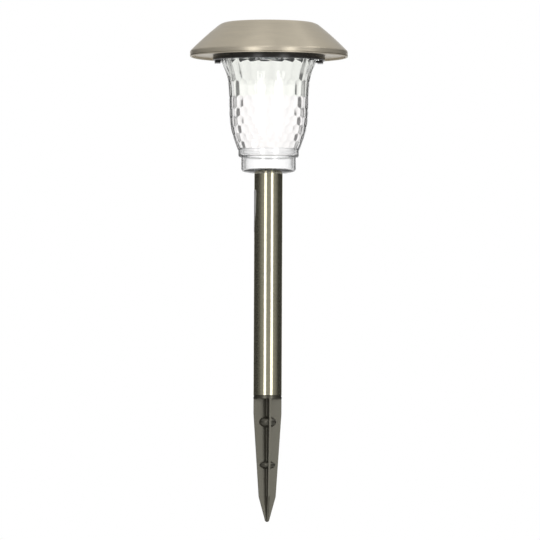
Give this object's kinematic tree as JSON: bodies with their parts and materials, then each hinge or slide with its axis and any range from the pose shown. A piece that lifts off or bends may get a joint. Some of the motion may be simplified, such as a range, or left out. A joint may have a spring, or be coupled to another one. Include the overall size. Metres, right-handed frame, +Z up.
{
  "type": "solar garden light",
  "caption": "Solar garden stake light: domed brushed-steel cap with a solar panel, clear dimpled bell lens and collar, steel pole and cross-bladed plastic ground stake.",
  "frame": {"origin": "on the pole's axis at the ground line, the underside of the stake's flange", "axes": "+Z up along the pole; the stake's cross blades lie along X and Y; the battery door is towards -Y"},
  "size_m": [0.139, 0.139, 0.4402],
  "materials": {
    "stake_plastic": "satin black moulded plastic",
    "stainless_steel": "brushed stainless steel, warm grey",
    "label_paper": "blank matt label film",
    "clear_plastic": "clear glossy plastic",
    "clear_collar": "clear glossy plastic",
    "seal_rubber": "soft matt rubber",
    "gasket_foam": "closed-cell foam",
    "housing_plastic": "black moulded plastic, slight gloss",
    "tray_plastic": "black moulded plastic, fine grain",
    "door_plastic": "black moulded plastic",
    "reflector_silver": "bright silver foil on card",
    "dish_chrome": "vacuum-plated bright plastic",
    "battery_steel": "nickel-plated steel",
    "battery_film": "plain green shrink film",
    "contact_steel": "nickel-plated spring steel",
    "panel_board": "white laminate board",
    "silicon": "dark blue crystalline silicon",
    "ribbon_tin": "tinned copper ribbon",
    "panel_clear": "clear resin cover",
    "screw_steel": "zinc-plated steel",
    "circuit_laminate": "green solder mask",
    "chip_black": "black epoxy",
    "coil_black": "dark ferrite drum",
    "capacitor_can": "aluminium can",
    "led_epoxy": "clear epoxy",
    "led_metal": "tinned steel",
    "switch_plastic": "black switch case",
    "knob_plastic": "off-white switch knob",
    "wire_red": "red PVC insulation",
    "wire_black": "black PVC insulation"
  },
  "bodies": {
    "stake": {"ground_stake": "stake_plastic"},
    "pole": {"pole_tube": "stainless_steel", "pole_label": "label_paper"},
    "lens": {"lens_collar": "clear_collar", "lens": "clear_plastic"},
    "seal": {"lens_seal": "seal_rubber"},
    "battery_door": {"battery_door": "door_plastic"},
    "switch": {"switch_knob": "knob_plastic"},
    "head": {"cap_dome": "stainless_steel", "cap_underplate": "stainless_steel", "housing_base": "housing_plastic", "reflector_disc": "reflector_silver", "led_dish": "dish_chrome", "battery_cell": "battery_steel", "battery_sleeve": "battery_film", "contact_positive": "contact_steel", "contact_negative": "contact_steel", "contact_spring": "contact_steel", "panel_tray": "tray_plastic", "panel_gasket": "gasket_foam", "panel_backing": "panel_board", "solar_cells": "silicon", "cell_ribbons": "ribbon_tin", "panel_cover": "panel_clear", "housing_screws": "screw_steel", "board_screws": "screw_steel", "circuit_board": "circuit_laminate", "driver_chip": "chip_black", "boost_coil": "coil_black", "board_capacitor": "capacitor_can", "led_bulb": "led_epoxy", "led_leads": "led_metal", "switch_body": "switch_plastic", "panel_wire_red": "wire_red", "panel_wire_black": "wire_black", "battery_wire_red": "wire_red", "battery_wire_black": "wire_black"}
  },
  "joints": [
    {"name": "pole_lift", "type": "slide", "parent": "stake", "child": "pole", "axis": [0, 0, 1], "range_m": [0, 0.04]},
    {"name": "lens_lift", "type": "slide", "parent": "pole", "child": "lens", "axis": [0, 0, 1], "range_m": [0, 0.03]},
    {"name": "head_turn", "type": "hinge", "parent": "lens", "child": "seal", "pos_m": [0, 0, 0.30165], "axis": [0, 0, 1], "range_deg": [-24, 0]},
    {"name": "head_lift", "type": "slide", "parent": "seal", "child": "head", "axis": [0, 0, 1], "range_m": [0, 0.05]},
    {"name": "door_swing", "type": "hinge", "parent": "head", "child": "battery_door", "pos_m": [0, -0.00979, 0.30125], "axis": [1, 0, 0], "range_deg": [0, 90]},
    {"name": "switch_slide", "type": "slide", "parent": "head", "child": "switch", "axis": [1, 0, 0], "range_m": [0, 0.002]}
  ]
}
